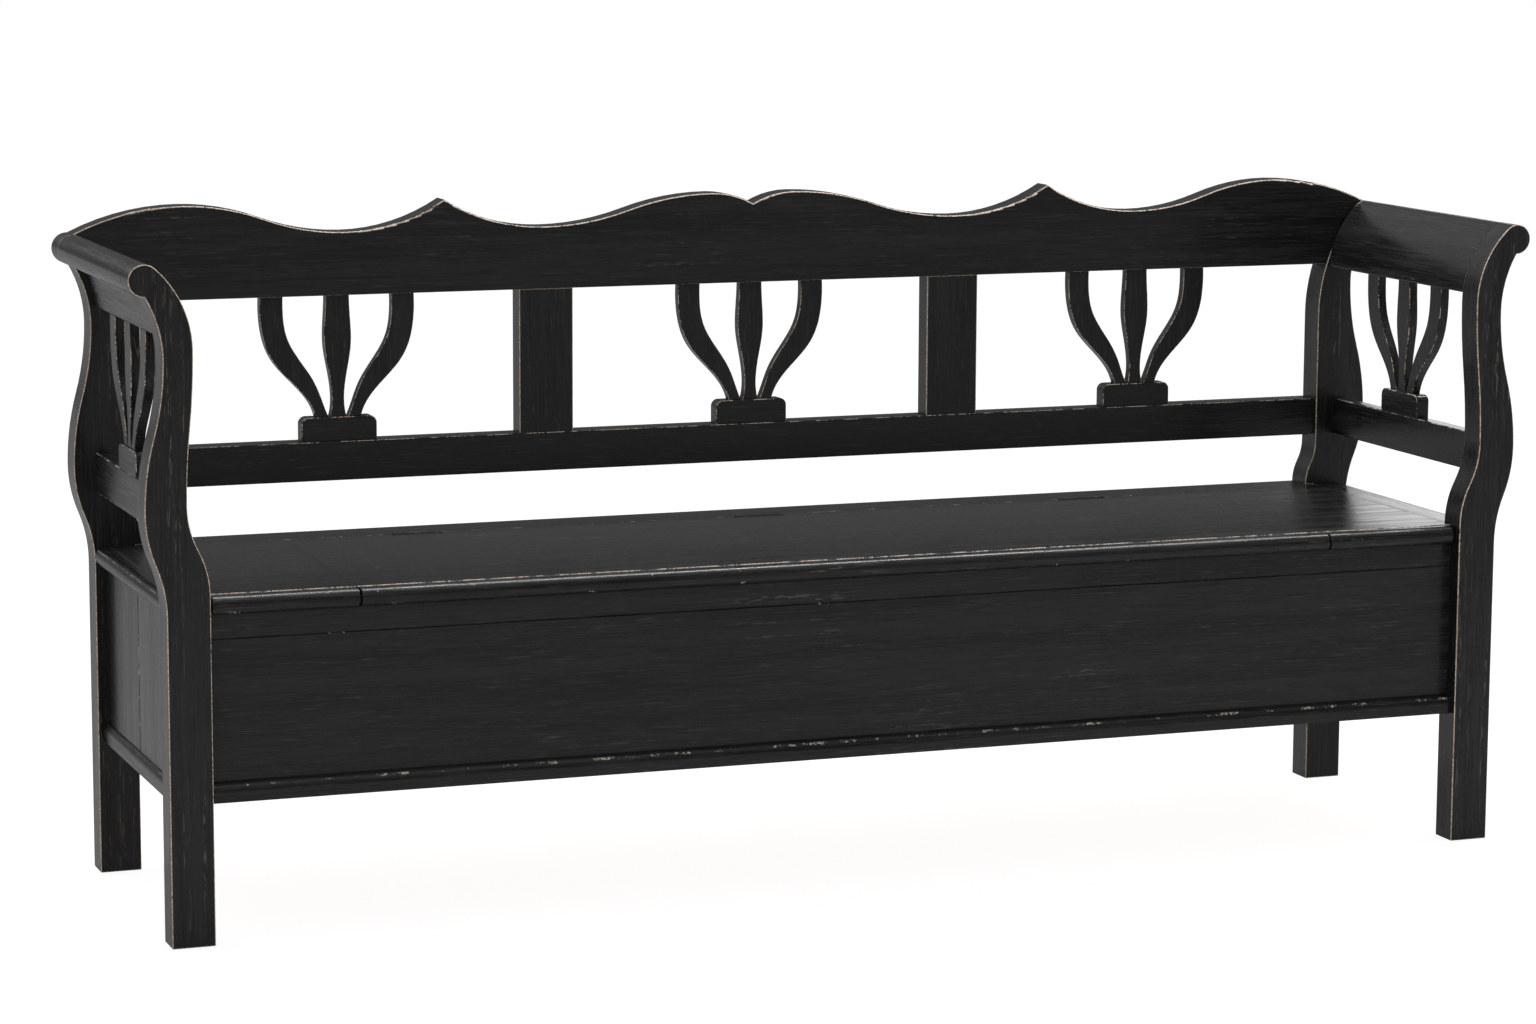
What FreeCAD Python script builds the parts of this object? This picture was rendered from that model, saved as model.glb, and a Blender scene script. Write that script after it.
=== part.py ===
import FreeCAD, Part
import math
import os

# A painted wooden storage settle. Millimetres, +Z up, +X to the sitter's right as seen from the front,
# -Y to the front. The origin is on the floor, under the middle of the bench.
# Outlines are drawn for the right half, as seen from the front, and mirrored to make the left half.

V = FreeCAD.Vector
LEFT_TO_RIGHT = V(1, 0, 0)

# Overall frame
DEPTH = 484.0
POST_DEPTH = 44.0
FRONT = -DEPTH / 2
REAR = DEPTH / 2
FRONT_POST_BACK = FRONT + POST_DEPTH
REAR_POST_FRONT = REAR - POST_DEPTH
FOOT_OUT = 943.0
FOOT_IN = 887.0
SEAT_TOP = 448.0
SEAT_T = 26.0
SEAT_UNDER = SEAT_TOP - SEAT_T

# S shape of the posts, as sideways offsets from the foot and heights above the floor
BELLY_OUT = 26.0
BELLY_Z = 557.0
OUTER_SWELL_Z = 424.0
WAIST_Z = 748.0
INNER_BELLY = 28.0
INNER_BELLY_Z = 565.0
INNER_SWELL_Z = 450.0
INNER_WAIST = 17.5
INNER_WAIST_Z = 760.0
SCROLL_R = 20.5
SCROLL_X = FOOT_OUT + 21.5
SCROLL_Z = 848.0
REAR_INNER_X = 890.0
REAR_INNER_LOW_Z = 510.0
REAR_INNER_HIGH_Z = 700.0
REAR_SHOULDER_X = 875.0
POST_ARRIS = 1.5
NOTCH_R = 2.0

# Arms
ARM_BOARD_UNDER = 772.0
ARM_BOARD_RECESS = 9.0
ARM_RAIL_X = 929.0
ARM_RAIL_T = 20.0
ARM_SLAT_T = 13.0
RAIL_ARRIS = 2.0
SLAT_ARRIS = 1.0
BLOCK_ARRIS = 2.0

# Back
RAIL_UNDER = 522.0
RAIL_TOP = 576.0
CREST_UNDER = 776.0
BACK_SETBACK = 6.0
BACK_T = 36.0
BACK_FRONT = REAR_POST_FRONT + BACK_SETBACK
STILE_X = 305.0
STILE_W = 78.0
STILE_T = 32.0
STILE_ARRIS = 1.5
STILE_TOP_ARRIS = 1.0
GROUP_STEP = 600.0
BACK_SLAT_T = 14.0
BLOCK_W = 106.0
BLOCK_H = 33.0
BLOCK_CORNER = 10.0
BACK_BLOCK_T = 24.0
CREST_NOTCH_Z = 887.0
CREST_TROUGH_Z = 862.5
CREST_TOP_Z = 903.0
MIDDLE_HUMP_X = 61.0
INNER_TROUGH_X = 307.0
PEAK_X = 451.0
OUTER_TROUGH_X = 591.0
END_HUMP_X = 815.0
CREST_ARRIS = 4.0
CREST_FINE_ARRIS = 1.0

# Tulip slats, from the block upwards: sideways from the group's middle, and share of the height
OUTER_SLAT_OUT = ((32.0, 0.0), (44.0, 0.15), (68.0, 0.31), (93.0, 0.49), (108.0, 0.83), (108.0, 1.0))
OUTER_SLAT_IN = (
    (14.0, 0.0), (20.0, 0.09), (31.0, 0.26), (52.0, 0.46), (70.0, 0.65), (76.0, 0.86), (76.0, 1.0),
)
MIDDLE_SLAT = ((11.5, 0.0), (8.5, 0.17), (11.0, 0.31), (15.0, 0.44), (18.5, 0.58), (18.0, 0.8), (16.5, 1.0))

# Seat, lid and hinges
NOSING_FRONT = FRONT + 7.0
NOSING_DEPTH = 20.0
NOSING_DROP = 0.8
NOSING_POST_GAP = 2.5
NOSING_CUT_ARRIS = 1.5
NOSING_END_ARRIS = 4.0
QUIRK = 1.0
QUIRK_DEPTH = 1.6
BOARD_FRONT = NOSING_FRONT + NOSING_DEPTH
LID_HALF = 689.0
LID_SIDE_GAP = 0.4
NOSING_CUT_GAP = 2.5
LID_REST_GAP = 0.5
HINGE_STRIP_W = 64.0
HINGE_STRIP_FRONT = REAR - HINGE_STRIP_W
LID_REAR_GAP = 1.0
LID_REAR = HINGE_STRIP_FRONT - LID_REAR_GAP
BOARD_ARRIS = 1.0
BATTEN_X = 330.0
BATTEN_W = 60.0
BATTEN_T = 18.0
BATTEN_END_GAP = 30.0
BATTEN_CHAMFER = 4.0
BATTEN_SCREW_SHARES = (0.2, 0.5, 0.8)
BATTEN_SCREW_L = 30.0
HINGE_XS = (-500.0, 0.0, 500.0)
HINGE_L = 72.0
HINGE_LEAF_T = 1.5
HINGE_LEAF_GAP = 0.5
HINGE_LEAF_H = 22.0
HINGE_Y = HINGE_STRIP_FRONT - LID_REAR_GAP / 2
HINGE_Z = SEAT_TOP - 0.5
KNUCKLE_R = 2.5
KNUCKLE_GAP = 0.3
KNUCKLE_RECESS = 0.5
KNUCKLES = 5
PIN_R = 1.0
PIN_PLAY = 0.05
SCREW_R = 1.6
SCREW_HEAD_R = 3.2
SCREW_L = 16.0
SCREW_DROP = 13.6

# Box under the seat
BOX_UNDER = 182.0
MOULDING_H = 25.0
MOULDING_ROUND = 12.0
MOULDING_TOP = BOX_UNDER + MOULDING_H
FRONT_MOULDING_Y = FRONT + 10.0
PANEL_T = 20.0
PANEL_JOINT_Z = 390.0
PANEL_ARRIS = 1.0
SIDE_PANEL_OUT = FOOT_OUT - 15.0
SIDE_PANEL_IN = SIDE_PANEL_OUT - PANEL_T
SIDE_MOULDING_OUT = FOOT_OUT - 8.0
SIDE_MOULDING_T = 30.0
PLANK_GROOVE = 2.0
BACK_PANEL_SETBACK = 4.0
BACK_PANEL_T = 16.0
CLEAT = 18.0
FLOOR_T = 12.0
FLOOR_GAP = 1.0


# Drawing helpers

class Outline:
    """A closed outline in one plane, drawn with straight runs, arcs and smooth curves."""

    def __init__(self, place, a, b):
        self.place = place
        self.first = V(a, b, 0)
        self.here = self.first
        self.edges = []

    def add(self, curve, end):
        self.edges.append(curve.toShape())
        self.here = end

    def spot(self, point):
        return self.place(point.x, point.y)

    def line(self, a, b):
        end = V(a, b, 0)
        self.add(Part.LineSegment(self.spot(self.here), self.spot(end)), end)
        return self

    def arc_through(self, middle, end):
        ends = [self.spot(self.here), self.spot(middle), self.spot(end)]
        self.add(Part.Arc(*ends), end)
        return self

    def arc_leaving(self, a, b, direction):
        """An arc that leaves the last point along the direction."""
        end = V(a, b, 0)
        return self.arc_through(arc_middle(self.here, direction, end), end)

    def arc_arriving(self, a, b, direction):
        """An arc that reaches the new point along the direction."""
        end = V(a, b, 0)
        return self.arc_through(arc_middle(end, direction * -1, self.here), end)

    def ogee(self, a, b, direction):
        """Two equal arcs, one each way, that leave and arrive along the same direction."""
        middle = (self.here + V(a, b, 0)) * 0.5
        self.arc_leaving(middle.x, middle.y, direction)
        return self.arc_arriving(a, b, direction)

    def smooth(self, points):
        """One smooth curve from the last point through the points."""
        path = [self.spot(self.here)] + [self.place(a, b) for a, b in points]
        curve = Part.BSplineCurve()
        curve.interpolate(path)
        self.add(curve, V(points[-1][0], points[-1][1], 0))
        return self

    def solid(self, thickness):
        """The closed outline, pushed out by the thickness vector."""
        if (self.here - self.first).Length > 0.001:
            self.line(self.first.x, self.first.y)
        return Part.Face(Part.Wire(self.edges)).extrude(thickness)


UP = V(0, 1, 0)
DOWN = V(0, -1, 0)
OUTWARD = V(1, 0, 0)


def arc_middle(start, direction, end):
    """The point half way along the arc that leaves start along direction and ends at end."""
    chord = end - start
    normal = V(-direction.y, direction.x, 0)
    radius = chord.dot(chord) / (2 * normal.dot(chord))
    centre = start + normal * radius
    half = (start + end) * 0.5 - centre
    return centre + half * (abs(radius) / half.Length)


def front_view(y):
    """Places outline points (sideways, up) in the plane across the bench at y."""
    return lambda a, b: V(a, y, b)


def side_view(x):
    """Places outline points (backwards, up) in the plane along the bench's depth at x."""
    return lambda a, b: V(x, a, b)


def box(x0, x1, y0, y1, z0, z1):
    return Part.makeBox(x1 - x0, y1 - y0, z1 - z0, V(x0, y0, z0))


def mirrored(shape):
    return shape.mirror(V(0, 0, 0), LEFT_TO_RIGHT)


def rounded(shape, radius, chosen):
    """The shape with the edges rounded that the test chooses."""
    edges = [edge for edge in shape.Edges if chosen(edge)]
    return shape.makeFillet(radius, edges)


def runs_along(edge, axis):
    """True for a straight edge along the axis, given as 0, 1 or 2 for X, Y or Z."""
    if not isinstance(edge.Curve, (Part.Line, Part.LineSegment)):
        return False
    return abs(edge.tangentAt(edge.FirstParameter)[axis]) > 0.999


def passes(edge, axis, point):
    """True for a straight edge along the axis that passes through the point."""
    if not runs_along(edge, axis):
        return False
    offset = edge.CenterOfMass - point
    offset[axis] = 0
    return offset.Length < 0.01


def with_eased_length(bar, radius, axis):
    """The bar with its four long arrises rounded."""
    return rounded(bar, radius, lambda edge: runs_along(edge, axis))


def with_eased_faces(piece, radius, axis):
    """The piece with the outlines of its two broad faces rounded, except where they stand or hang."""
    box_around = piece.BoundBox
    ends = (box_around.ZMin, box_around.ZMax)

    def on_broad_face(edge):
        along = abs(edge.tangentAt(edge.FirstParameter)[axis])
        height = [vertex.Z for vertex in edge.Vertexes]
        at_end = any(all(abs(z - end) < 0.01 for z in height) for end in ends)
        return along < 0.001 and not at_end

    return rounded(piece, radius, on_broad_face)


def screw(head, direction, length):
    """A countersunk screw: its flat head's centre, and the way that it points."""
    cone = Part.makeCone(SCREW_HEAD_R, SCREW_R, SCREW_HEAD_R - SCREW_R, head, direction)
    shank = Part.makeCylinder(SCREW_R, length, head, direction)
    return cone.fuse(shank).removeSplitter()


parts = {}


def keep_pair(name, shape):
    """Keeps a right-hand piece and its mirror image on the left."""
    parts["right_" + name] = shape
    parts["left_" + name] = mirrored(shape)


# Posts

def scroll_tangent(inner_x, inner_z):
    """Where the post's inner curve, upright at the given point, runs into the scroll."""
    across = SCROLL_X - inner_x
    rise = SCROLL_Z - inner_z
    radius = (across ** 2 + rise ** 2 - SCROLL_R ** 2) / (2 * (across - SCROLL_R))
    centre = V(inner_x + radius, inner_z, 0)
    scroll = V(SCROLL_X, SCROLL_Z, 0)
    return scroll + (scroll - centre).normalize() * SCROLL_R


def scroll_head(outline, inner_x, inner_z):
    """The scroll, from its notch round its outside to the inner curve, and down that curve."""
    tip = V(SCROLL_X + SCROLL_R, SCROLL_Z, 0)
    outline.arc_through(tip, scroll_tangent(inner_x, inner_z))
    outline.arc_arriving(inner_x, inner_z, DOWN)


def outer_side(outline):
    """The post's outer edge from the floor up to the notch under the scroll."""
    outline.line(FOOT_OUT, OUTER_SWELL_Z)
    outline.ogee(FOOT_OUT + BELLY_OUT, BELLY_Z, UP)
    outline.ogee(FOOT_OUT, WAIST_Z, UP)
    outline.arc_leaving(SCROLL_X, SCROLL_Z - SCROLL_R, UP)


def eased(post):
    """The post with a softened notch, and every arris of its front, rear and foot faces eased."""
    notch_z = SCROLL_Z - SCROLL_R

    def in_notch(edge):
        return runs_along(edge, 1) and abs(edge.CenterOfMass.z - notch_z) < 0.001

    def on_end_face(edge):
        ends = [vertex.Point for vertex in edge.Vertexes]
        across = all(abs(end.y - edge.CenterOfMass.y) < 0.001 for end in ends)
        return across or edge.CenterOfMass.z < 0.001

    return rounded(rounded(post, NOTCH_R, in_notch), POST_ARRIS, on_end_face)


def front_post():
    outline = Outline(front_view(FRONT), FOOT_OUT, 0)
    outer_side(outline)
    scroll_head(outline, FOOT_IN + INNER_WAIST, INNER_WAIST_Z)
    outline.ogee(FOOT_IN + INNER_BELLY, INNER_BELLY_Z, DOWN)
    outline.ogee(FOOT_IN, INNER_SWELL_Z, DOWN)
    outline.line(FOOT_IN, 0)
    return outline.solid(V(0, POST_DEPTH, 0))


def rear_post():
    """Like the front post, but wider above the seat, where a shoulder stands on the hinge strip."""
    outline = Outline(front_view(REAR_POST_FRONT), FOOT_OUT, 0)
    outer_side(outline)
    scroll_head(outline, REAR_INNER_X, REAR_INNER_HIGH_Z)
    outline.line(REAR_INNER_X, REAR_INNER_LOW_Z)
    outline.ogee(REAR_SHOULDER_X, SEAT_TOP, DOWN)
    outline.line(FOOT_IN, SEAT_TOP)
    outline.line(FOOT_IN, 0)
    return outline.solid(V(0, POST_DEPTH, 0))


# Arms

def arm_board():
    """The scrolled board between the posts: a roll outside, and a board that hangs from it."""
    out = SCROLL_X - FOOT_OUT
    rise = SCROLL_Z - SCROLL_R - WAIST_Z
    waist_r = (out ** 2 + rise ** 2) / (2 * out)
    centre = V(FOOT_OUT + waist_r, WAIST_Z, 0)
    face_r = waist_r + ARM_BOARD_RECESS

    def on_face(z):
        return V(centre.x - math.sqrt(face_r ** 2 - (z - centre.y) ** 2), z, 0)

    def on_scroll(x):
        return V(x, SCROLL_Z - math.sqrt(SCROLL_R ** 2 - (x - SCROLL_X) ** 2), 0)

    inner_x = FOOT_IN + INNER_WAIST
    meeting = on_scroll(on_face(SCROLL_Z - SCROLL_R).x)
    low = on_face(ARM_BOARD_UNDER)
    outline = Outline(front_view(FRONT_POST_BACK), low.x, low.y)
    outline.arc_through(on_face((low.y + meeting.y) / 2), meeting)
    scroll_head(outline, inner_x, INNER_WAIST_Z)
    outline.line(low.x, INNER_WAIST_Z)
    whole = outline.solid(V(0, REAR_POST_FRONT - FRONT_POST_BACK, 0))
    under = box(0, FOOT_OUT * 2, FRONT, REAR, 0, ARM_BOARD_UNDER)
    board = whole.cut(under).removeSplitter()

    def along_bottom(edge):
        return runs_along(edge, 1) and abs(edge.CenterOfMass.z - ARM_BOARD_UNDER) < 0.01

    return rounded(board, RAIL_ARRIS, along_bottom)


def arm_rail():
    x0 = ARM_RAIL_X - ARM_RAIL_T / 2
    rail = box(x0, x0 + ARM_RAIL_T, FRONT_POST_BACK, REAR_POST_FRONT, RAIL_UNDER, RAIL_TOP)
    return with_eased_length(rail, RAIL_ARRIS, 1)


# Foot blocks and tulip slats, drawn in either plane

def foot_block(place, middle, thickness):
    """The block that stands on a rail, with round upper corners and eased arrises."""
    half = BLOCK_W / 2
    top = RAIL_TOP + BLOCK_H
    outline = Outline(place, middle - half, RAIL_TOP)
    outline.line(middle - half, top - BLOCK_CORNER)
    outline.arc_leaving(middle - half + BLOCK_CORNER, top, UP)
    outline.line(middle + half - BLOCK_CORNER, top)
    outline.arc_leaving(middle + half, top - BLOCK_CORNER, OUTWARD)
    outline.line(middle + half, RAIL_TOP)
    return with_eased_faces(outline.solid(thickness), BLOCK_ARRIS, 0 if thickness.x else 1)


def outer_slat(place, middle, side, top, thickness):
    """One of the two slats that swing outwards; side is -1 or 1."""
    foot = RAIL_TOP + BLOCK_H

    def spots(points):
        return [(middle + side * a, foot + share * (top - foot)) for a, share in points]

    outside = spots(OUTER_SLAT_OUT)
    inside = spots(OUTER_SLAT_IN)
    outline = Outline(place, *outside[0])
    outline.smooth(outside[1:])
    outline.line(*inside[-1])
    outline.smooth(inside[-2::-1])
    return with_eased_faces(outline.solid(thickness), SLAT_ARRIS, 0 if thickness.x else 1)


def middle_slat(place, middle, top, thickness):
    foot = RAIL_TOP + BLOCK_H
    right = [(middle + a, foot + share * (top - foot)) for a, share in MIDDLE_SLAT]
    left = [(2 * middle - a, z) for a, z in right]
    outline = Outline(place, *right[0])
    outline.smooth(right[1:])
    outline.line(*left[-1])
    outline.smooth(left[-2::-1])
    return with_eased_faces(outline.solid(thickness), SLAT_ARRIS, 0 if thickness.x else 1)


def keep_back_group(name, middle):
    y_middle = BACK_FRONT + BACK_T / 2
    block_place = front_view(y_middle - BACK_BLOCK_T / 2)
    slat_place = front_view(y_middle - BACK_SLAT_T / 2)
    thickness = V(0, BACK_SLAT_T, 0)
    parts[name + "_back_block"] = foot_block(block_place, middle, V(0, BACK_BLOCK_T, 0))
    parts[name + "_back_slat_left"] = outer_slat(slat_place, middle, -1, CREST_UNDER, thickness)
    parts[name + "_back_slat_centre"] = middle_slat(slat_place, middle, CREST_UNDER, thickness)
    parts[name + "_back_slat_right"] = outer_slat(slat_place, middle, 1, CREST_UNDER, thickness)


def keep_arm_groups():
    block_place = side_view(ARM_RAIL_X - ARM_RAIL_T / 2)
    slat_place = side_view(ARM_RAIL_X - ARM_SLAT_T / 2)
    thickness = V(ARM_SLAT_T, 0, 0)
    keep_pair("arm_block", foot_block(block_place, 0, V(ARM_RAIL_T, 0, 0)))
    keep_pair("arm_slat_front", outer_slat(slat_place, 0, -1, ARM_BOARD_UNDER, thickness))
    keep_pair("arm_slat_centre", middle_slat(slat_place, 0, ARM_BOARD_UNDER, thickness))
    keep_pair("arm_slat_rear", outer_slat(slat_place, 0, 1, ARM_BOARD_UNDER, thickness))


# Back frame

def crest_rail(post):
    """The scalloped top rail, fitted to the curves of the rear posts at its ends."""
    outline = Outline(front_view(BACK_FRONT), 0, CREST_UNDER)
    outline.line(0, CREST_NOTCH_Z)
    outline.arc_arriving(MIDDLE_HUMP_X, CREST_TOP_Z, OUTWARD)
    outline.ogee(INNER_TROUGH_X, CREST_TROUGH_Z, OUTWARD)
    outline.arc_leaving(PEAK_X, CREST_TOP_Z, OUTWARD)
    outline.arc_arriving(OUTER_TROUGH_X, CREST_TROUGH_Z, OUTWARD)
    outline.ogee(END_HUMP_X, CREST_TOP_Z, OUTWARD)
    outline.arc_leaving(SCROLL_X, SCROLL_Z + SCROLL_R, OUTWARD)
    outline.line(FOOT_OUT, CREST_UNDER)
    half = outline.solid(V(0, BACK_T, 0))

    def on_face(edge, y):
        return all(abs(vertex.Y - y) < 0.001 for vertex in edge.Vertexes)

    def at_front_top(edge):
        return on_face(edge, BACK_FRONT) and edge.CenterOfMass.z > CREST_TROUGH_Z

    def at_rear_top(edge):
        return on_face(edge, BACK_FRONT + BACK_T) and edge.CenterOfMass.z > CREST_TROUGH_Z

    def at_bottom(edge):
        return edge.CenterOfMass.z < CREST_UNDER + 0.001 and runs_along(edge, 0)

    half = rounded(rounded(half, CREST_ARRIS, at_front_top), CREST_FINE_ARRIS, at_bottom)
    half = half.makeChamfer(CREST_FINE_ARRIS, [edge for edge in half.Edges if at_rear_top(edge)])
    half = half.cut(post)
    return half.fuse(mirrored(half)).removeSplitter()


def lower_back_rail():
    back = BACK_FRONT + BACK_T
    rail = box(-REAR_INNER_X, REAR_INNER_X, BACK_FRONT, back, RAIL_UNDER, RAIL_TOP)
    return with_eased_length(rail, RAIL_ARRIS, 0)


def mid_stile():
    y0 = BACK_FRONT + (BACK_T - STILE_T) / 2
    x0 = STILE_X - STILE_W / 2
    stile = box(x0, x0 + STILE_W, y0, y0 + STILE_T, RAIL_TOP, CREST_UNDER)
    stile = with_eased_length(stile, STILE_ARRIS, 2)
    return rounded(stile, STILE_TOP_ARRIS, lambda edge: edge.CenterOfMass.z > CREST_UNDER - 0.001)


# Seat

def bar_with_bullnose(place, front, back, under, top, along):
    """A bar whose front edge is a half round over its full height."""
    radius = (top - under) / 2
    outline = Outline(place, back, under)
    outline.line(back, top)
    outline.line(front + radius, top)
    outline.arc_through(V(front, (top + under) / 2, 0), V(front + radius, under, 0))
    return outline.solid(along)


def nosing(x0, x1, under, end_arris):
    """A length of the rounded strip along the seat's front edge, with its x1 end eased by end_arris."""
    top = SEAT_TOP - NOSING_DROP
    strip = bar_with_bullnose(side_view(x0), NOSING_FRONT, BOARD_FRONT, under, top, V(x1 - x0, 0, 0))

    def at_end(x):
        return lambda edge: abs(edge.CenterOfMass.x - x) < 0.001 and edge.CenterOfMass.y < BOARD_FRONT - 0.01

    return rounded(rounded(strip, NOSING_CUT_ARRIS, at_end(x0)), end_arris, at_end(x1))


def side_strip():
    """The strip at the seat's end, between the posts: a rounded edge, and a fine groove behind it."""
    top = SEAT_TOP - NOSING_DROP
    radius = (top - SEAT_UNDER) / 2
    groove_x = FOOT_OUT - NOSING_DEPTH
    outline = Outline(front_view(FRONT_POST_BACK), FOOT_IN, SEAT_UNDER)
    outline.line(FOOT_IN, SEAT_TOP - QUIRK)
    outline.line(FOOT_IN + QUIRK, SEAT_TOP)
    outline.line(groove_x - QUIRK, SEAT_TOP)
    outline.line(groove_x, SEAT_TOP - QUIRK_DEPTH)
    outline.line(groove_x, top)
    outline.line(FOOT_OUT - radius, top)
    outline.arc_through(V(FOOT_OUT, top - radius, 0), V(FOOT_OUT - radius, SEAT_UNDER, 0))
    return outline.solid(V(0, REAR_POST_FRONT - FRONT_POST_BACK, 0))


def with_quirk(board):
    """The board with the arris behind the nosing taken off, which leaves a fine groove there."""
    corner = V(0, BOARD_FRONT, SEAT_TOP)
    return board.makeChamfer(QUIRK, [edge for edge in board.Edges if passes(edge, 0, corner)])


def seat_end():
    """The fixed piece of the seat beside the lid."""
    back = LID_REAR + LID_REAR_GAP
    return with_quirk(box(LID_HALF + LID_SIDE_GAP, FOOT_IN, BOARD_FRONT, back, SEAT_UNDER, SEAT_TOP))


def leaf(y0, x):
    """One flat leaf of a hinge, let into the edge of its board."""
    top = HINGE_Z
    return box(x - HINGE_L / 2, x + HINGE_L / 2, y0, y0 + HINGE_LEAF_T, top - HINGE_LEAF_H, top)


def knuckle(x, number, gap):
    """Knuckles are counted from the left, and the pin runs through all of them."""
    pitch = HINGE_L / KNUCKLES
    start = x - HINGE_L / 2 + number * pitch + gap / 2
    return Part.makeCylinder(KNUCKLE_R, pitch - gap, V(start, HINGE_Y, HINGE_Z), LEFT_TO_RIGHT)


def pin_hole(x, radius, extra):
    length = HINGE_L + 2 * extra
    return Part.makeCylinder(radius, length, V(x - length / 2, HINGE_Y, HINGE_Z), LEFT_TO_RIGHT)


FRAME_LEAF_Y = HINGE_Y + HINGE_LEAF_GAP / 2
LID_LEAF_Y = HINGE_Y - HINGE_LEAF_GAP / 2 - HINGE_LEAF_T


def hinge_half(x, leaf_y, numbers):
    """A leaf with its own knuckles, cut free of the other half's knuckles."""
    solid = leaf(leaf_y, x)
    for number in range(KNUCKLES):
        if number not in numbers:
            clear = Part.makeCylinder(
                KNUCKLE_R + KNUCKLE_GAP,
                HINGE_L / KNUCKLES,
                V(x - HINGE_L / 2 + number * HINGE_L / KNUCKLES, HINGE_Y, HINGE_Z),
                LEFT_TO_RIGHT,
            )
            solid = solid.cut(clear)
    for number in numbers:
        solid = solid.fuse(knuckle(x, number, KNUCKLE_GAP))
    return solid.cut(pin_hole(x, PIN_R + PIN_PLAY, 1)).removeSplitter()


def hinge_room(x, leaf_y):
    """The mortise for a leaf, and the hollow in which the knuckles turn."""
    mortise = leaf(leaf_y, x)
    hollow = pin_hole(x, KNUCKLE_R + KNUCKLE_RECESS, KNUCKLE_RECESS)
    return mortise.fuse(hollow)


def screw_places():
    """Each hinge leaf has three screws in a row."""
    for x in HINGE_XS:
        for step in (-1, 0, 1):
            yield x + step * HINGE_L / 3, HINGE_Z - SCREW_DROP


def cut_for_hinges(board, leaf_y):
    for x in HINGE_XS:
        board = board.cut(hinge_room(x, leaf_y))
    return board


def hinge_strip():
    """The fixed strip behind the lid, which carries the hinges."""
    strip = box(-FOOT_IN, FOOT_IN, HINGE_STRIP_FRONT, REAR, SEAT_UNDER, SEAT_TOP)
    corners = (V(0, HINGE_STRIP_FRONT, SEAT_TOP), V(0, REAR, SEAT_TOP))
    return rounded(strip, BOARD_ARRIS, lambda edge: any(passes(edge, 0, corner) for corner in corners))


def lid_board():
    board = box(-LID_HALF, LID_HALF, BOARD_FRONT, LID_REAR, SEAT_UNDER + LID_REST_GAP, SEAT_TOP)
    corner = V(0, LID_REAR, SEAT_TOP)
    return with_quirk(rounded(board, BOARD_ARRIS, lambda edge: passes(edge, 0, corner)))


def lid_batten(x):
    z1 = SEAT_UNDER + LID_REST_GAP
    y0 = FRONT_POST_BACK + BATTEN_END_GAP
    y1 = LID_REAR - BATTEN_END_GAP
    batten = box(x - BATTEN_W / 2, x + BATTEN_W / 2, y0, y1, z1 - BATTEN_T, z1)
    lower = [edge for edge in batten.Edges if edge.CenterOfMass.z < z1 - BATTEN_T + 0.001]
    return batten.makeChamfer(BATTEN_CHAMFER, lower)


def batten_screw_places():
    z = SEAT_UNDER + LID_REST_GAP - BATTEN_T
    span = LID_REAR - FRONT_POST_BACK
    for x in (-BATTEN_X, BATTEN_X):
        for share in BATTEN_SCREW_SHARES:
            yield V(x, FRONT_POST_BACK + span * share, z)


# Box

def front_moulding():
    """The bottom rail of the box front, with a rounded upper edge."""
    bar = box(-FOOT_IN, FOOT_IN, FRONT_MOULDING_Y, FRONT_POST_BACK, BOX_UNDER, MOULDING_TOP)
    corner = V(0, FRONT_MOULDING_Y, MOULDING_TOP)
    return rounded(bar, MOULDING_ROUND, lambda edge: passes(edge, 0, corner))


def side_moulding():
    x0 = SIDE_MOULDING_OUT - SIDE_MOULDING_T
    bar = box(x0, SIDE_MOULDING_OUT, FRONT_POST_BACK, REAR_POST_FRONT, BOX_UNDER, MOULDING_TOP)
    corner = V(SIDE_MOULDING_OUT, 0, MOULDING_TOP)
    return rounded(bar, MOULDING_ROUND, lambda edge: passes(edge, 1, corner))


def front_board(z0, z1, eased_z):
    """One board of the box front; the arris at the joint with the other board is taken off."""
    y1 = FRONT_POST_BACK
    board = box(-FOOT_IN, FOOT_IN, y1 - PANEL_T, y1, z0, z1)
    corner = V(0, y1 - PANEL_T, eased_z)
    return board.makeChamfer(PANEL_ARRIS, [edge for edge in board.Edges if passes(edge, 0, corner)])


def side_plank(y0, y1):
    """One of the two upright planks of the box end, with the groove's half at their joint."""
    plank = box(SIDE_PANEL_IN, SIDE_PANEL_OUT, y0, y1, MOULDING_TOP, SEAT_UNDER)
    corner = V(SIDE_PANEL_OUT, 0, 0)
    return plank.makeChamfer(PLANK_GROOVE, [edge for edge in plank.Edges if passes(edge, 2, corner)])


def back_panel():
    y0 = REAR_POST_FRONT + BACK_PANEL_SETBACK
    return box(-FOOT_IN, FOOT_IN, y0, y0 + BACK_PANEL_T, BOX_UNDER, SEAT_UNDER)


def floor_cleats():
    """Four strips inside the box that the floor board lies on."""
    z1 = BOX_UNDER + CLEAT
    y0 = FRONT_POST_BACK
    y1 = REAR_POST_FRONT + BACK_PANEL_SETBACK
    x1 = SIDE_MOULDING_OUT - SIDE_MOULDING_T
    long_x = FOOT_IN
    front = box(-long_x, long_x, y0, y0 + CLEAT, BOX_UNDER, z1)
    back = box(-long_x, long_x, y1 - CLEAT, y1, BOX_UNDER, z1)
    side = box(x1 - CLEAT, x1, y0 + CLEAT, y1 - CLEAT, BOX_UNDER, z1)
    return Part.makeCompound([front, back, side, mirrored(side)])


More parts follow.
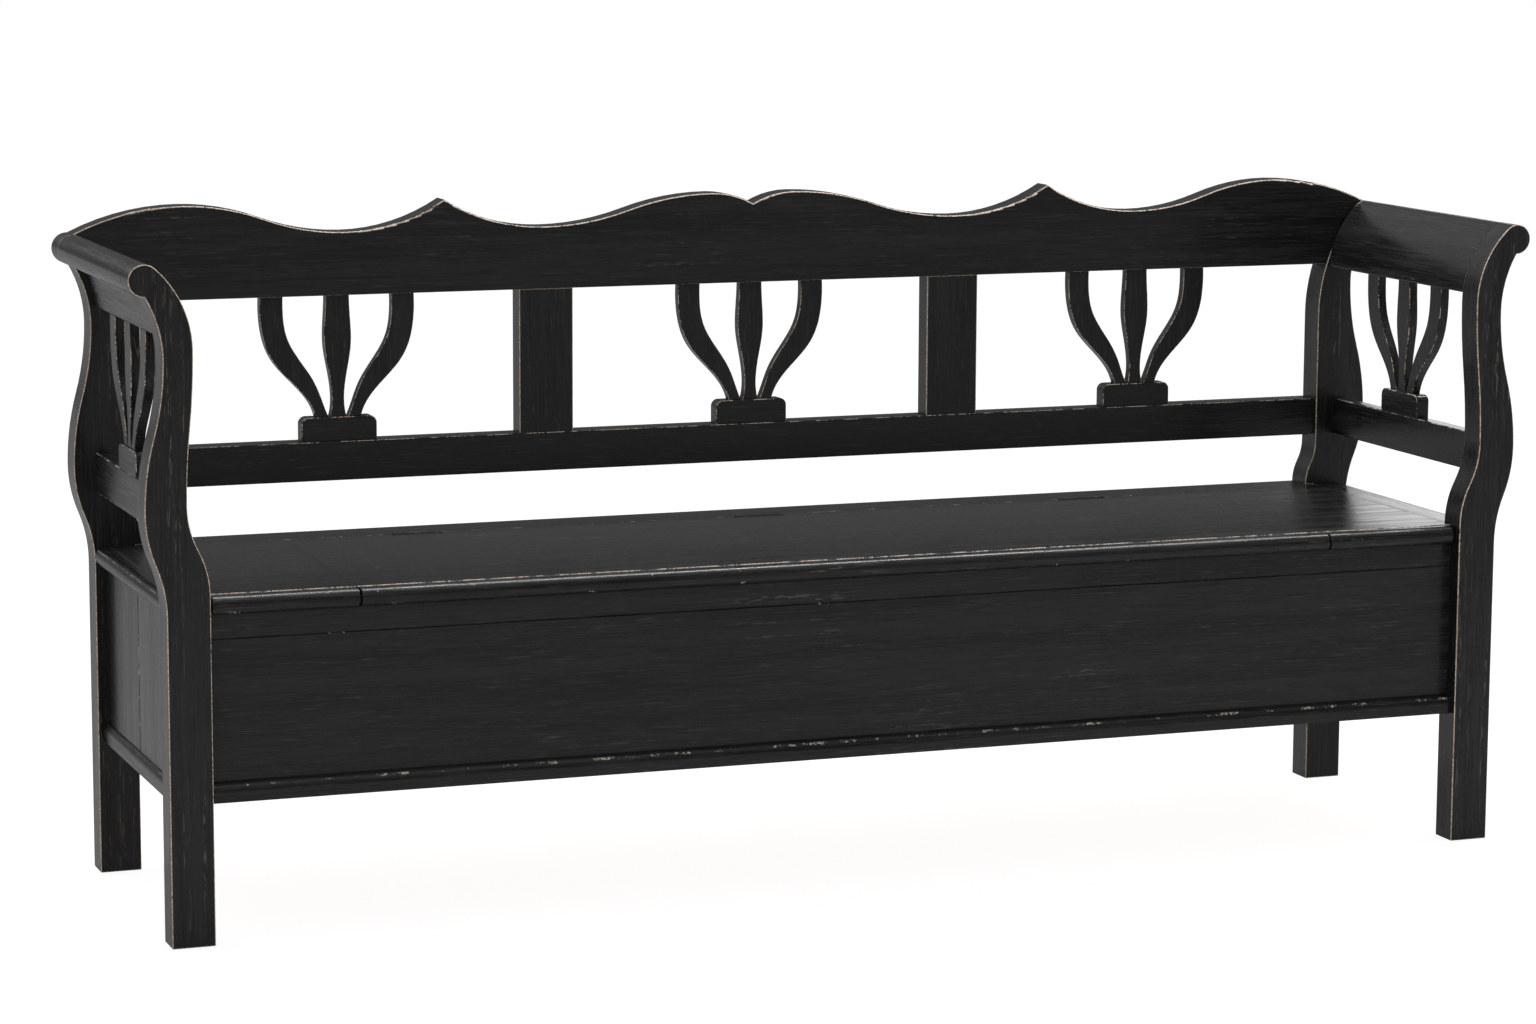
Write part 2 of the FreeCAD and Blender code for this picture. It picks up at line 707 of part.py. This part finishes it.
def box_floor():
    x1 = SIDE_MOULDING_OUT - SIDE_MOULDING_T - FLOOR_GAP
    z0 = BOX_UNDER + CLEAT
    return box(-x1, x1, FRONT_POST_BACK + FLOOR_GAP, REAR_POST_FRONT - FLOOR_GAP, z0, z0 + FLOOR_T)


# Assembly

plain_rear_post = rear_post()
keep_pair("front_post", eased(front_post()))
keep_pair("rear_post", eased(plain_rear_post))
keep_pair("arm_board", arm_board())
keep_pair("arm_rail", arm_rail())
keep_arm_groups()

parts["crest_rail"] = crest_rail(plain_rear_post)
parts["lower_back_rail"] = lower_back_rail()
keep_pair("mid_stile", mid_stile())
keep_back_group("left", -GROUP_STEP)
keep_back_group("middle", 0)
keep_back_group("right", GROUP_STEP)

keep_pair("side_strip", side_strip())
keep_pair("seat_end", seat_end())
fixed_nosing_start = LID_HALF + NOSING_CUT_GAP
end_nosing = nosing(fixed_nosing_start, FOOT_IN - NOSING_POST_GAP, SEAT_UNDER, NOSING_END_ARRIS)
keep_pair("end_nosing", end_nosing)

frame_screws = [screw(V(x, FRAME_LEAF_Y, z), V(0, 1, 0), SCREW_L) for x, z in screw_places()]
lid_screws = [screw(V(x, LID_LEAF_Y + HINGE_LEAF_T, z), V(0, -1, 0), SCREW_L) for x, z in screw_places()]
batten_screws = [screw(place, V(0, 0, 1), BATTEN_SCREW_L) for place in batten_screw_places()]

frame_halves = Part.makeCompound([hinge_half(x, FRAME_LEAF_Y, (0, 2, 4)) for x in HINGE_XS])
lid_halves = Part.makeCompound([hinge_half(x, LID_LEAF_Y, (1, 3)) for x in HINGE_XS])
frame_screw_group = Part.makeCompound(frame_screws)
lid_screw_group = Part.makeCompound(lid_screws)
batten_screw_group = Part.makeCompound(batten_screws)

parts["hinge_strip"] = cut_for_hinges(hinge_strip(), FRAME_LEAF_Y).cut(frame_screw_group)
lid = cut_for_hinges(lid_board(), LID_LEAF_Y)
parts["lid_board"] = lid.cut(lid_screw_group).cut(batten_screw_group)
parts["lid_nosing"] = nosing(-LID_HALF, LID_HALF, SEAT_UNDER + LID_REST_GAP, NOSING_CUT_ARRIS)
battens = Part.makeCompound([lid_batten(-BATTEN_X), lid_batten(BATTEN_X)])
parts["lid_battens"] = battens.cut(batten_screw_group)

parts["hinge_frame_leaves"] = frame_halves.cut(frame_screw_group)
parts["hinge_lid_leaves"] = lid_halves.cut(lid_screw_group)
parts["hinge_pins"] = Part.makeCompound([pin_hole(x, PIN_R, 0) for x in HINGE_XS])
parts["hinge_frame_screws"] = frame_screw_group
parts["hinge_lid_screws"] = lid_screw_group
parts["batten_screws"] = batten_screw_group

parts["front_board_upper"] = front_board(PANEL_JOINT_Z, SEAT_UNDER, PANEL_JOINT_Z)
parts["front_board_lower"] = front_board(MOULDING_TOP, PANEL_JOINT_Z, PANEL_JOINT_Z)
parts["front_moulding"] = front_moulding()
keep_pair("side_moulding", side_moulding())
keep_pair("side_plank_front", side_plank(FRONT_POST_BACK, 0))
keep_pair("side_plank_rear", side_plank(0, REAR_POST_FRONT))
parts["back_panel"] = back_panel()
parts["floor_cleats"] = floor_cleats()
parts["box_floor"] = box_floor()

os.makedirs("parts", exist_ok=True)
for name, shape in parts.items():
    shape.exportStep("parts/" + name + ".step")
print(len(parts), "nodes, all valid:", all(shape.isValid() for shape in parts.values()))
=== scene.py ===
import math

import bpy
from mathutils import Euler, Matrix, Vector

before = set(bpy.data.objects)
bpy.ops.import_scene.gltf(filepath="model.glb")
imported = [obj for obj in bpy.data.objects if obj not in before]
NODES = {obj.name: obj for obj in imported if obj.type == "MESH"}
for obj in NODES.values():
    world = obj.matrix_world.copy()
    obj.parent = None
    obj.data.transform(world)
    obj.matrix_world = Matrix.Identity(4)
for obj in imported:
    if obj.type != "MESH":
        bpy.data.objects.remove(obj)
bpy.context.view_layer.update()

# Camera without lens shift, fitted to matching points of the photo. Metres and degrees.
PHOTO_W = 1536
CAMERA_AT = Vector((-2.0869, -5.4443, 1.3699))
YAW = 20.488
TILT = 8.699
ROLL = 0.261
FOCAL_PX = 4291.7
SENSOR = 36.0

# Light. The room is what gloss sees: dim below and at the right, bright above and at the left.
WHITE = (1.0, 1.0, 1.0, 1.0)
WORLD_LEVEL = 0.80
ROOM_UP = (-0.6, 0.0, 0.8)
ROOM_RAMP = (0.15, 0.9, 0.13, 1.0)
EYE_RAYS = ("Is Camera Ray", "Is Glossy Ray", "Is Transmission Ray")

# Floor: its matt colour, how strongly it glows to the camera and to gloss, and the glow's share
FLOOR_HALF = 30.0
FLOOR_COLOUR = (0.82, 0.82, 0.82, 1)
FLOOR_SEEN = 1.14
FLOOR_IN_GLOSS = 0.33
FLOOR_GLOW = 0.8

# Area lamps: place, target, width, height and radiance
LAMPS = {
    "top_strip": ((1.3, 0.4, 3.2), (1.3, 0, 0.5), 4.4, 0.2, 46.0),
    "left_panel": ((-2.3, 2.0, 2.3), (-0.95, 0, 0.9), 1.9, 1.5, 1.5),
    "right_panel": ((2.9, 2.0, 0.95), (0.8, 0, 0.45), 1.8, 1.2, 1.8),
}

# Finishes, as linear colours
PAINT_DARK = (0.0050, 0.0050, 0.0053, 1)
PAINT_LIGHT = (0.0132, 0.0131, 0.0137, 1)
SCRATCH = (0.034, 0.034, 0.035, 1)
RUBBED = (0.075, 0.060, 0.048, 1)
WOOD_TAN = (0.27, 0.195, 0.145, 1)
# Pale wood of the worn arrises, which also serves as a painted highlight along the arrises
WOOD_PALE_AND_HIGHLIGHT = (0.50, 0.42, 0.35, 1)
PINE_LIGHT = (0.62, 0.42, 0.235, 1)
PINE_DARK = (0.40, 0.225, 0.105, 1)
STEEL = (0.36, 0.34, 0.31, 1)
STEEL_STAIN = tuple(0.55 * channel for channel in STEEL[:3]) + (1,)

# Paint: gloss, the roughness at its smooth and rough streaks, what wear adds, and the relief
PAINT_SPECULAR = 0.36
PAINT_ROUGHNESS = (0.22, 0.33)
WORN_ROUGHNESS = 0.2
PAINT_RELIEF = 0.00015
PAINT_TONES = (0.38, 0.62)
ARRIS_BLEND = 0.08

# The hinges are painted over from this height in metres, where they show with the lid shut
PAINTED_FROM = 0.4465
PAINT_EDGE = 0.0003
PAINT_RAGGED = 0.001


class Graph:
    """A material's node tree, with short calls for what is used often."""

    def __init__(self, name):
        self.material = bpy.data.materials.new(name)
        self.material.use_nodes = True
        self.tree = self.material.node_tree
        self.tree.nodes.clear()
        self.shader = self.node("ShaderNodeBsdfPrincipled")
        output = self.node("ShaderNodeOutputMaterial")
        self.link(self.shader.outputs[0], output.inputs[0])
        self.coords = self.node("ShaderNodeTexCoord")

    def node(self, kind, **settings):
        made = self.tree.nodes.new(kind)
        for key, value in settings.items():
            setattr(made, key, value)
        return made

    def link(self, source, target):
        self.tree.links.new(source, target)

    def put(self, value, socket):
        if isinstance(value, bpy.types.NodeSocket):
            self.link(value, socket)
        else:
            socket.default_value = value

    def math(self, operation, *values):
        made = self.node("ShaderNodeMath", operation=operation)
        for value, socket in zip(values, made.inputs):
            self.put(value, socket)
        return made.outputs[0]

    def vector(self, operation, *values):
        made = self.node("ShaderNodeVectorMath", operation=operation)
        for value, socket in zip(values, made.inputs):
            self.put(value, socket)
        return made.outputs["Value" if operation in ("DOT_PRODUCT", "LENGTH") else "Vector"]

    def step(self, value, low, high, to_low=0.0, to_high=1.0):
        """A smooth step of the value from low to high."""
        made = self.node("ShaderNodeMapRange", interpolation_type="SMOOTHSTEP")
        for number, entry in enumerate((value, low, high, to_low, to_high)):
            self.put(entry, made.inputs[number])
        return made.outputs[0]

    def mix(self, factor, first, second):
        made = self.node("ShaderNodeMix", data_type="RGBA")
        self.put(factor, made.inputs[0])
        self.put(first, made.inputs[6])
        self.put(second, made.inputs[7])
        return made.outputs[2]

    def noise(self, scale, detail=3.0, roughness=0.55, distortion=0.0):
        """Noise over the object; scale is how many cycles a metre has along X, Y and Z."""
        scaled = self.vector("MULTIPLY", self.coords.outputs["Object"], scale)
        made = self.node("ShaderNodeTexNoise")
        self.link(scaled, made.inputs["Vector"])
        made.inputs["Scale"].default_value = 1.0
        made.inputs["Detail"].default_value = detail
        made.inputs["Roughness"].default_value = roughness
        made.inputs["Distortion"].default_value = distortion
        return made.outputs[0]

    def bump(self, height, distance, strength=1.0):
        made = self.node("ShaderNodeBump")
        made.inputs["Strength"].default_value = strength
        made.inputs["Distance"].default_value = distance
        self.link(height, made.inputs["Height"])
        return made.outputs[0]


def along(axis, length_scale, cross_scale):
    """A noise scale with the grain along the axis, 0, 1 or 2 for X, Y or Z."""
    return [length_scale if number == axis else cross_scale for number in range(3)]


def arris_mask(g, form, narrow):
    """1 on the eased arrises, 0 on the faces. form says which way the piece was cut out."""
    split = g.node("ShaderNodeSeparateXYZ")
    g.link(g.coords.outputs["Normal"], split.inputs[0])
    size = [g.math("ABSOLUTE", split.outputs[number]) for number in range(3)]
    if form == "box":
        across = g.math("MAXIMUM", size[0], g.math("MAXIMUM", size[1], size[2]))
    else:
        across = size["xyz".index(form)]
    rest = g.math("SQRT", g.math("SUBTRACT", 1.0, g.math("MULTIPLY", across, across)))
    return g.step(g.math("MINIMUM", across, rest), narrow - ARRIS_BLEND, narrow + ARRIS_BLEND)


def paint(name, grain, form, wear_and_highlight=0.5, rubs=0.5, narrow=0.25):
    """Satin black brushed paint over softwood, rubbed through along the arrises; the pale arris
    wood is also a painted highlight there.
    """
    g = Graph(name)
    streak = g.noise(along(grain, 13, 390), 3.0, 0.6)
    band = g.noise(along(grain, 1.6, 38), 3.0, 0.5)
    tone = g.math("ADD", g.math("MULTIPLY", streak, 0.6), g.math("MULTIPLY", band, 0.4))
    colour = g.mix(g.step(tone, *PAINT_TONES), PAINT_DARK, PAINT_LIGHT)

    scratch = g.noise(along(grain, 24, 640), 2.0, 0.5)
    light = g.step(scratch, 0.62, 0.72)
    colour = g.mix(g.math("MULTIPLY", light, 0.6), colour, SCRATCH)

    vein = g.noise(along(grain, 0.9, 60), 2.0, 0.5)
    beside = g.math("ABSOLUTE", g.math("SUBTRACT", vein, 0.5))
    on_vein = g.step(beside, 0.004, 0.016, 1.0, 0.0)
    dot = g.noise(along(grain, 60, 300), 2.0, 0.6)
    spot = g.noise(along(grain, 30, 520), 2.0, 0.5)
    area = g.noise((5, 5, 5), 2.0)
    here = g.step(area, 0.5 - 0.16 * rubs, 0.72 - 0.16 * rubs)
    on_line = g.math("MULTIPLY", on_vein, g.step(dot, 0.50, 0.58))
    loose = g.step(spot, 0.74 - 0.06 * rubs, 0.80 - 0.06 * rubs)
    rub = g.math("MULTIPLY", g.math("MAXIMUM", on_line, loose), here)
    colour = g.mix(g.math("MULTIPLY", rub, 0.8), colour, RUBBED)

    arris = arris_mask(g, form, narrow)
    run = g.noise((38, 38, 38), 2.0)
    chip = g.noise((330, 330, 330), 3.0, 0.6)
    wave = g.math("ADD", g.math("MULTIPLY", run, 0.6), g.math("MULTIPLY", chip, 0.4))
    cover = g.step(wave, 0.62 - 0.30 * wear_and_highlight, 0.70 - 0.30 * wear_and_highlight)
    # Arris wear: partly rubbed-through wood, partly a painted highlight along the arrises
    worn_and_highlight = g.math("MULTIPLY", arris, cover)
    bare_wood_and_highlight = g.mix(g.step(chip, 0.40, 0.62), WOOD_TAN, WOOD_PALE_AND_HIGHLIGHT)
    colour = g.mix(worn_and_highlight, colour, bare_wood_and_highlight)
    g.link(colour, g.shader.inputs["Base Color"])

    satin = g.step(tone, *PAINT_TONES, *PAINT_ROUGHNESS)
    rough = g.math("ADD", satin, g.math("MULTIPLY", worn_and_highlight, WORN_ROUGHNESS))
    g.link(rough, g.shader.inputs["Roughness"])
    g.shader.inputs["Specular IOR Level"].default_value = PAINT_SPECULAR
    height = g.math("SUBTRACT", streak, g.math("MULTIPLY", g.math("MAXIMUM", worn_and_highlight, rub), 0.8))
    g.link(g.bump(height, PAINT_RELIEF, 0.4), g.shader.inputs["Normal"])
    return g.material


def pine(name, grain):
    """Planed, unpainted softwood with growth rings and a few darker lines."""
    g = Graph(name)
    ring = g.noise(along(grain, 0.8, 24), 3.0, 0.5, 0.6)
    fibre = g.noise(along(grain, 7, 600), 3.0, 0.6)
    waves = g.math("FRACT", g.math("MULTIPLY", ring, 9.0))
    tone = g.math("ADD", g.math("MULTIPLY", waves, 0.6), g.math("MULTIPLY", fibre, 0.4))
    g.link(g.mix(g.step(tone, 0.25, 0.95), PINE_LIGHT, PINE_DARK), g.shader.inputs["Base Color"])
    g.link(g.step(fibre, 0.3, 0.7, 0.5, 0.65), g.shader.inputs["Roughness"])
    g.link(g.bump(fibre, 0.0002, 0.5), g.shader.inputs["Normal"])
    return g.material


def steel(name):
    """Dull plated steel, brushed and stained, painted over from PAINTED_FROM up."""
    g = Graph(name)
    brushed = g.noise((60, 2500, 2500), 3.0)
    stain = g.noise((90, 90, 90), 3.0)
    bare = g.mix(g.step(stain, 0.5, 0.72), STEEL, STEEL_STAIN)
    split = g.node("ShaderNodeSeparateXYZ")
    g.link(g.coords.outputs["Object"], split.inputs[0])
    ragged = g.math("ADD", split.outputs[2], g.math("MULTIPLY", stain, PAINT_RAGGED))
    painted = g.step(ragged, PAINTED_FROM, PAINTED_FROM + PAINT_EDGE)
    g.link(g.mix(painted, bare, PAINT_LIGHT), g.shader.inputs["Base Color"])
    g.link(g.math("SUBTRACT", 1.0, painted), g.shader.inputs["Metallic"])
    g.link(g.step(brushed, 0.3, 0.7, 0.32, 0.48), g.shader.inputs["Roughness"])
    g.link(g.bump(brushed, 0.00003, 0.5), g.shader.inputs["Normal"])
    return g.material


# Each node's finish: grain axis, the way the piece was cut out, how worn its arrises are,
# how many rubs it has, and from what turn of the surface its arrises show.
# The worn arrises are partly a painted highlight, most of all on the crest rail.
X, Y, Z = 0, 1, 2
PAINTED = {
    "post": (Z, "y", 1.0, 0.7, 0.2),
    "arm_board": (Y, "y", 0.3, 0.2, 0.4),
    "arm_rail": (Y, "box", 0.45, 0.3, 0.4),
    "arm_block": (Y, "x", 0.5, 0.2, 0.4),
    "arm_slat": (Z, "x", 0.45, 0.3),
    "back_block": (X, "y", 0.5, 0.1, 0.4),
    "back_slat": (Z, "y", 0.6, 0.1),
    "mid_stile": (Z, "box", 1.0, 0.1, 0.12),
    # Heavy arris wear here paints a pale highlight line along the crest's top arris
    "crest_rail": (X, "y", 0.85, 0.05, 0.55),
    "lower_back_rail": (X, "box", 0.5, 0.1, 0.5),
    "nosing": (X, "box", 0.0, 0.3, 0.6),
    "side_strip": (Y, "box", 0.4, 0.1, 0.69),
    "seat_end": (X, "box", 0.6, 0.4),
    "lid_board": (X, "box", 0.6, 0.4),
    "hinge_strip": (X, "box", 0.3, 0.3),
    "front_board": (X, "box", 0.0, 0.15),
    "front_moulding": (X, "box", 0.25, 0.05, 0.6),
    "side_moulding": (Y, "box", 0.2, 0.3, 0.6),
    "side_plank": (Z, "box", 0.3, 0.3),
    "back_panel": (X, "box", 0.2, 0.2),
}
BARE = {"box_floor": X, "floor_cleats": X, "lid_battens": Y}


def finish_nodes():
    """One finish for each kind of piece: bare pine, black paint, or steel for the rest."""
    made = {}
    for name, node in NODES.items():
        kind = next((key for key in PAINTED if key in name), None)
        if name in BARE:
            finish, make, settings = "pine_%d" % BARE[name], pine, (BARE[name],)
        elif kind:
            finish, make, settings = "black_paint_" + kind, paint, PAINTED[kind]
        else:
            finish, make, settings = "hinge_steel", steel, ()
        if finish not in made:
            made[finish] = make(finish, *settings)
        node.data.materials.clear()
        node.data.materials.append(made[finish])


finish_nodes()


# Studio


def white_for_eye(tree, factor_socket):
    """Feeds the factor 1 for camera, glossy and transmission rays, and 0 for the others."""
    path = tree.nodes.new("ShaderNodeLightPath")
    total = path.outputs[EYE_RAYS[0]]
    for name in EYE_RAYS[1:]:
        larger = tree.nodes.new("ShaderNodeMath")
        larger.operation = "MAXIMUM"
        tree.links.new(total, larger.inputs[0])
        tree.links.new(path.outputs[name], larger.inputs[1])
        total = larger.outputs[0]
    tree.links.new(total, factor_socket)


def studio_level(tree, strength_socket):
    """Strength 1 for the camera, and the room's own levels for reflections."""
    place = tree.nodes.new("ShaderNodeTexCoord")
    up = tree.nodes.new("ShaderNodeVectorMath")
    up.operation = "DOT_PRODUCT"
    up.inputs[1].default_value = ROOM_UP
    tree.links.new(place.outputs["Generated"], up.inputs[0])
    room = tree.nodes.new("ShaderNodeMapRange")
    room.interpolation_type = "SMOOTHSTEP"
    for number, value in enumerate(ROOM_RAMP):
        room.inputs[number + 1].default_value = value
    tree.links.new(up.outputs["Value"], room.inputs[0])
    path = tree.nodes.new("ShaderNodeLightPath")
    level = tree.nodes.new("ShaderNodeMath")
    level.operation = "MAXIMUM"
    tree.links.new(path.outputs["Is Camera Ray"], level.inputs[0])
    tree.links.new(room.outputs[0], level.inputs[1])
    tree.links.new(level.outputs[0], strength_socket)


def make_world():
    """An even light for the surfaces, and a white backdrop."""
    world = bpy.data.worlds.new("studio")
    bpy.context.scene.world = world
    world.use_nodes = True
    tree = world.node_tree
    tree.nodes.clear()
    output = tree.nodes.new("ShaderNodeOutputWorld")
    lit = tree.nodes.new("ShaderNodeBackground")
    lit.inputs[0].default_value = WHITE
    lit.inputs[1].default_value = WORLD_LEVEL
    seen = tree.nodes.new("ShaderNodeBackground")
    seen.inputs[0].default_value = WHITE
    studio_level(tree, seen.inputs[1])
    both = tree.nodes.new("ShaderNodeMixShader")
    white_for_eye(tree, both.inputs[0])
    tree.links.new(lit.outputs[0], both.inputs[1])
    tree.links.new(seen.outputs[0], both.inputs[2])
    tree.links.new(both.outputs[0], output.inputs[0])


def make_floor():
    """A pale floor that the camera and gloss see nearly as the backdrop, with the shadow kept."""
    mesh = bpy.data.meshes.new("floor")
    signs = ((-1, -1), (1, -1), (1, 1), (-1, 1))
    corners = [(x * FLOOR_HALF, y * FLOOR_HALF, 0) for x, y in signs]
    mesh.from_pydata(corners, [], [(0, 1, 2, 3)])
    floor = bpy.data.objects.new("floor", mesh)
    bpy.context.scene.collection.objects.link(floor)
    material = bpy.data.materials.new("pale_floor")
    material.use_nodes = True
    tree = material.node_tree
    tree.nodes.clear()
    output = tree.nodes.new("ShaderNodeOutputMaterial")
    matt = tree.nodes.new("ShaderNodeBsdfDiffuse")
    matt.inputs[0].default_value = FLOOR_COLOUR
    glow = tree.nodes.new("ShaderNodeEmission")
    path = tree.nodes.new("ShaderNodeLightPath")
    level = tree.nodes.new("ShaderNodeMapRange")
    level.inputs[3].default_value = FLOOR_IN_GLOSS
    level.inputs[4].default_value = FLOOR_SEEN
    tree.links.new(path.outputs["Is Camera Ray"], level.inputs[0])
    tree.links.new(level.outputs[0], glow.inputs[1])
    both = tree.nodes.new("ShaderNodeMixShader")
    scale = tree.nodes.new("ShaderNodeMath")
    scale.operation = "MULTIPLY"
    scale.inputs[1].default_value = FLOOR_GLOW
    white_for_eye(tree, scale.inputs[0])
    tree.links.new(scale.outputs[0], both.inputs[0])
    tree.links.new(matt.outputs[0], both.inputs[1])
    tree.links.new(glow.outputs[0], both.inputs[2])
    tree.links.new(both.outputs[0], output.inputs[0])
    mesh.materials.append(material)


def softbox(name, at, target, width, height, radiance):
    """An area lamp that faces the target; its power follows from its size and radiance."""
    data = bpy.data.lights.new(name, "AREA")
    data.shape = "RECTANGLE"
    data.size = width
    data.size_y = height
    data.energy = radiance * math.pi * width * height
    lamp = bpy.data.objects.new(name, data)
    lamp.location = at
    lamp.rotation_euler = (Vector(target) - Vector(at)).to_track_quat("-Z", "Y").to_euler()
    lamp.visible_camera = False
    bpy.context.scene.collection.objects.link(lamp)


def make_camera():
    """The photo's view."""
    data = bpy.data.cameras.new("photo_camera")
    data.sensor_width = SENSOR
    data.lens = FOCAL_PX / PHOTO_W * SENSOR
    camera = bpy.data.objects.new("photo_camera", data)
    camera.location = CAMERA_AT
    camera.rotation_mode = "XYZ"
    aim = Euler((math.pi / 2 - math.radians(TILT), 0, -math.radians(YAW)), "XYZ")
    roll = Matrix.Rotation(math.radians(ROLL), 3, "Z")
    camera.rotation_euler = (aim.to_matrix() @ roll).to_euler()
    bpy.context.scene.collection.objects.link(camera)
    bpy.context.scene.camera = camera


make_world()
make_floor()
for lamp_name, settings in LAMPS.items():
    softbox(lamp_name, *settings)
make_camera()
bpy.context.scene.view_settings.view_transform = "Standard"
